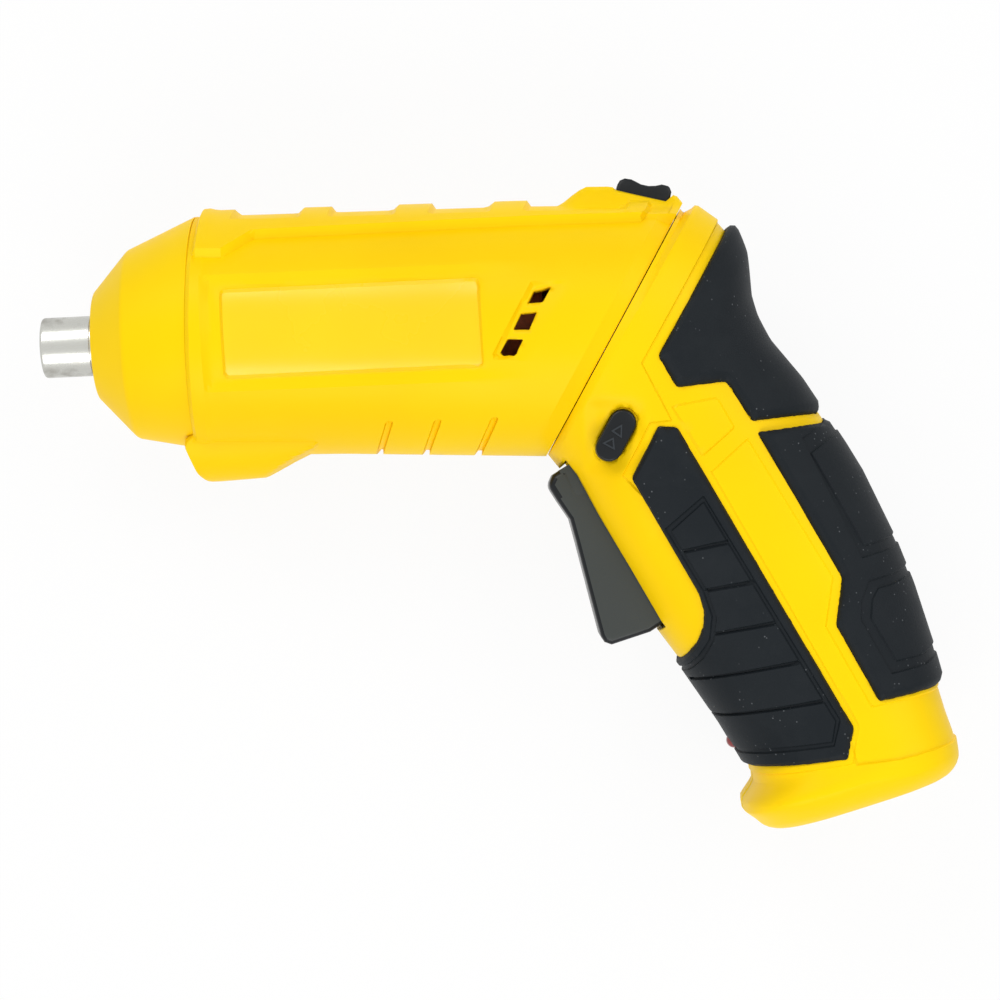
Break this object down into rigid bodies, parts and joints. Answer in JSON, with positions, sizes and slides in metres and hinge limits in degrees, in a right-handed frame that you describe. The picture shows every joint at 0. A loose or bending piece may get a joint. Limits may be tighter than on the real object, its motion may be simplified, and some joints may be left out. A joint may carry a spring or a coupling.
{
  "type": "electric screwdriver",
  "caption": "Folding battery screwdriver with a hexagonal bit holder, planetary gearbox, swivelling pistol handle, trigger and soft grips.",
  "frame": {"origin": "mouth of the bit holder, on the spindle axis", "axes": "+X from the bit holder to the rear along the spindle, +Y to the top of the tool, +Z to its left side, so the tool lies on its right side"},
  "size_m": [0.1872, 0.1372, 0.0512],
  "materials": {
    "yellow_plastic": "satin moulded",
    "soft_grip": "matte",
    "dark_plastic": "satin",
    "black_button": "satin",
    "clear_lens": "clear",
    "nylon": "moulded",
    "bronze": "sintered",
    "motor_steel": "zinc plated",
    "chrome": "worn chrome",
    "steel": "plated",
    "copper": "copper",
    "dark_ceramic": "ferrite",
    "cell_wrap": "shrink wrap",
    "board": "solder mask",
    "sleeve_paper": "pressed paper",
    "red_light": "translucent",
    "lead_sheath": "flexible",
    "white_plastic": "moulded"
  },
  "bodies": {
    "barrel": {"barrel_left_shell": "yellow_plastic", "barrel_right_shell": "yellow_plastic", "nose_cone": "yellow_plastic", "led_lens": "clear_lens", "led_lamp": "clear_lens", "gearbox_housing": "nylon", "gearbox_cover": "nylon", "gearbox_screws": "steel", "spindle_bushing": "bronze", "motor_can": "motor_steel", "motor_magnets": "dark_ceramic", "motor_end_cap": "nylon", "motor_brushes": "dark_ceramic", "motor_terminals": "copper", "terminal_sleeve": "sleeve_paper", "motor_screws": "steel", "motor_leads": "lead_sheath", "barrel_screws": "steel", "swivel_hub": "motor_steel", "swivel_plate": "motor_steel", "swivel_screws": "steel", "latch_spring": "steel"},
    "spindle": {"bit_holder": "chrome", "bit_magnet": "chrome", "retaining_ring": "steel", "carrier_2": "steel"},
    "first_carrier": {"carrier_1": "steel"},
    "rotor": {"motor_shaft": "chrome", "rotor_core": "copper", "commutator": "copper", "motor_pinion": "bronze"},
    "handle": {"handle_left_shell": "yellow_plastic", "handle_right_shell": "yellow_plastic", "thumb_grip_left": "soft_grip", "thumb_grip_right": "soft_grip", "palm_grip_left": "soft_grip", "palm_grip_right": "soft_grip", "finger_grip_left": "soft_grip", "finger_grip_right": "soft_grip", "swivel_ring": "nylon", "battery_cell": "cell_wrap", "battery_tabs": "steel", "charge_board": "board", "charge_socket": "nylon", "charge_indicator": "red_light", "switch_body": "nylon", "handle_leads": "lead_sheath", "handle_screws": "steel", "trigger_pin": "steel", "trigger_spring": "steel"},
    "plunger": {"switch_plunger": "white_plastic"},
    "latch": {"latch_button": "black_button"},
    "trigger": {"trigger": "dark_plastic"},
    "direction": {"direction_button": "black_button"},
    "planet_1a": {"planet_1a": "steel"},
    "planet_1b": {"planet_1b": "steel"},
    "planet_1c": {"planet_1c": "steel"},
    "planet_2a": {"planet_2a": "steel"},
    "planet_2b": {"planet_2b": "steel"},
    "planet_2c": {"planet_2c": "steel"}
  },
  "joints": [
    {"name": "handle_swivel", "type": "hinge", "parent": "barrel", "child": "handle", "pos_m": [0.1195, -0.00185, 0], "axis": [0.8572, -0.515, 0], "range_deg": [0, 180]},
    {"name": "rotor_spin", "type": "hinge", "parent": "barrel", "child": "rotor", "pos_m": [0.06, 0, 0], "axis": [1, 0, 0], "continuous": true},
    {"name": "spindle_spin", "type": "hinge", "parent": "barrel", "child": "spindle", "pos_m": [0, 0, 0], "axis": [1, 0, 0], "continuous": true},
    {"name": "first_carrier_spin", "type": "hinge", "parent": "barrel", "child": "first_carrier", "pos_m": [0.04, 0, 0], "axis": [1, 0, 0], "continuous": true},
    {"name": "planet_1a_spin", "type": "hinge", "parent": "first_carrier", "child": "planet_1a", "pos_m": [0.045, 0, -0.0075], "axis": [1, 0, 0], "continuous": true},
    {"name": "planet_1b_spin", "type": "hinge", "parent": "first_carrier", "child": "planet_1b", "pos_m": [0.045, 0.00649, 0.00375], "axis": [1, 0, 0], "continuous": true},
    {"name": "planet_1c_spin", "type": "hinge", "parent": "first_carrier", "child": "planet_1c", "pos_m": [0.045, -0.00649, 0.00375], "axis": [1, 0, 0], "continuous": true},
    {"name": "planet_2a_spin", "type": "hinge", "parent": "spindle", "child": "planet_2a", "pos_m": [0.045, 0, -0.0075], "axis": [1, 0, 0], "continuous": true},
    {"name": "planet_2b_spin", "type": "hinge", "parent": "spindle", "child": "planet_2b", "pos_m": [0.045, 0.00649, 0.00375], "axis": [1, 0, 0], "continuous": true},
    {"name": "planet_2c_spin", "type": "hinge", "parent": "spindle", "child": "planet_2c", "pos_m": [0.045, -0.00649, 0.00375], "axis": [1, 0, 0], "continuous": true},
    {"name": "trigger_swing", "type": "hinge", "parent": "handle", "child": "trigger", "pos_m": [0.11199, -0.03076, 0], "axis": [0, 0, 1], "range_deg": [0, 6], "stiffness_Nm_per_rad": 0.6, "deforming": ["trigger_spring"]},
    {"name": "plunger_slide", "type": "slide", "parent": "handle", "child": "plunger", "axis": [0.8829, 0.4695, 0], "range_m": [0, 0.0018]},
    {"name": "latch_slide", "type": "slide", "parent": "barrel", "child": "latch", "axis": [-0.2588, -0.9659, 0], "range_m": [0, 0.002], "stiffness_N_per_m": 600, "deforming": ["latch_spring"]},
    {"name": "direction_slide", "type": "slide", "parent": "handle", "child": "direction", "axis": [0, 0, 1], "range_m": [-0.0015, 0.0015]}
  ],
  "couplings": [
    {"joint": "spindle_spin", "follows": "rotor_spin", "ratio": 0.017778},
    {"joint": "first_carrier_spin", "follows": "rotor_spin", "ratio": 0.13333},
    {"joint": "planet_1a_spin", "follows": "rotor_spin", "ratio": -0.31515},
    {"joint": "planet_1b_spin", "follows": "rotor_spin", "ratio": -0.31515},
    {"joint": "planet_1c_spin", "follows": "rotor_spin", "ratio": -0.31515},
    {"joint": "planet_2a_spin", "follows": "rotor_spin", "ratio": -0.04202},
    {"joint": "planet_2b_spin", "follows": "rotor_spin", "ratio": -0.04202},
    {"joint": "planet_2c_spin", "follows": "rotor_spin", "ratio": -0.04202},
    {"joint": "plunger_slide", "follows": "trigger_swing", "m_per_rad": 0.015}
  ]
}
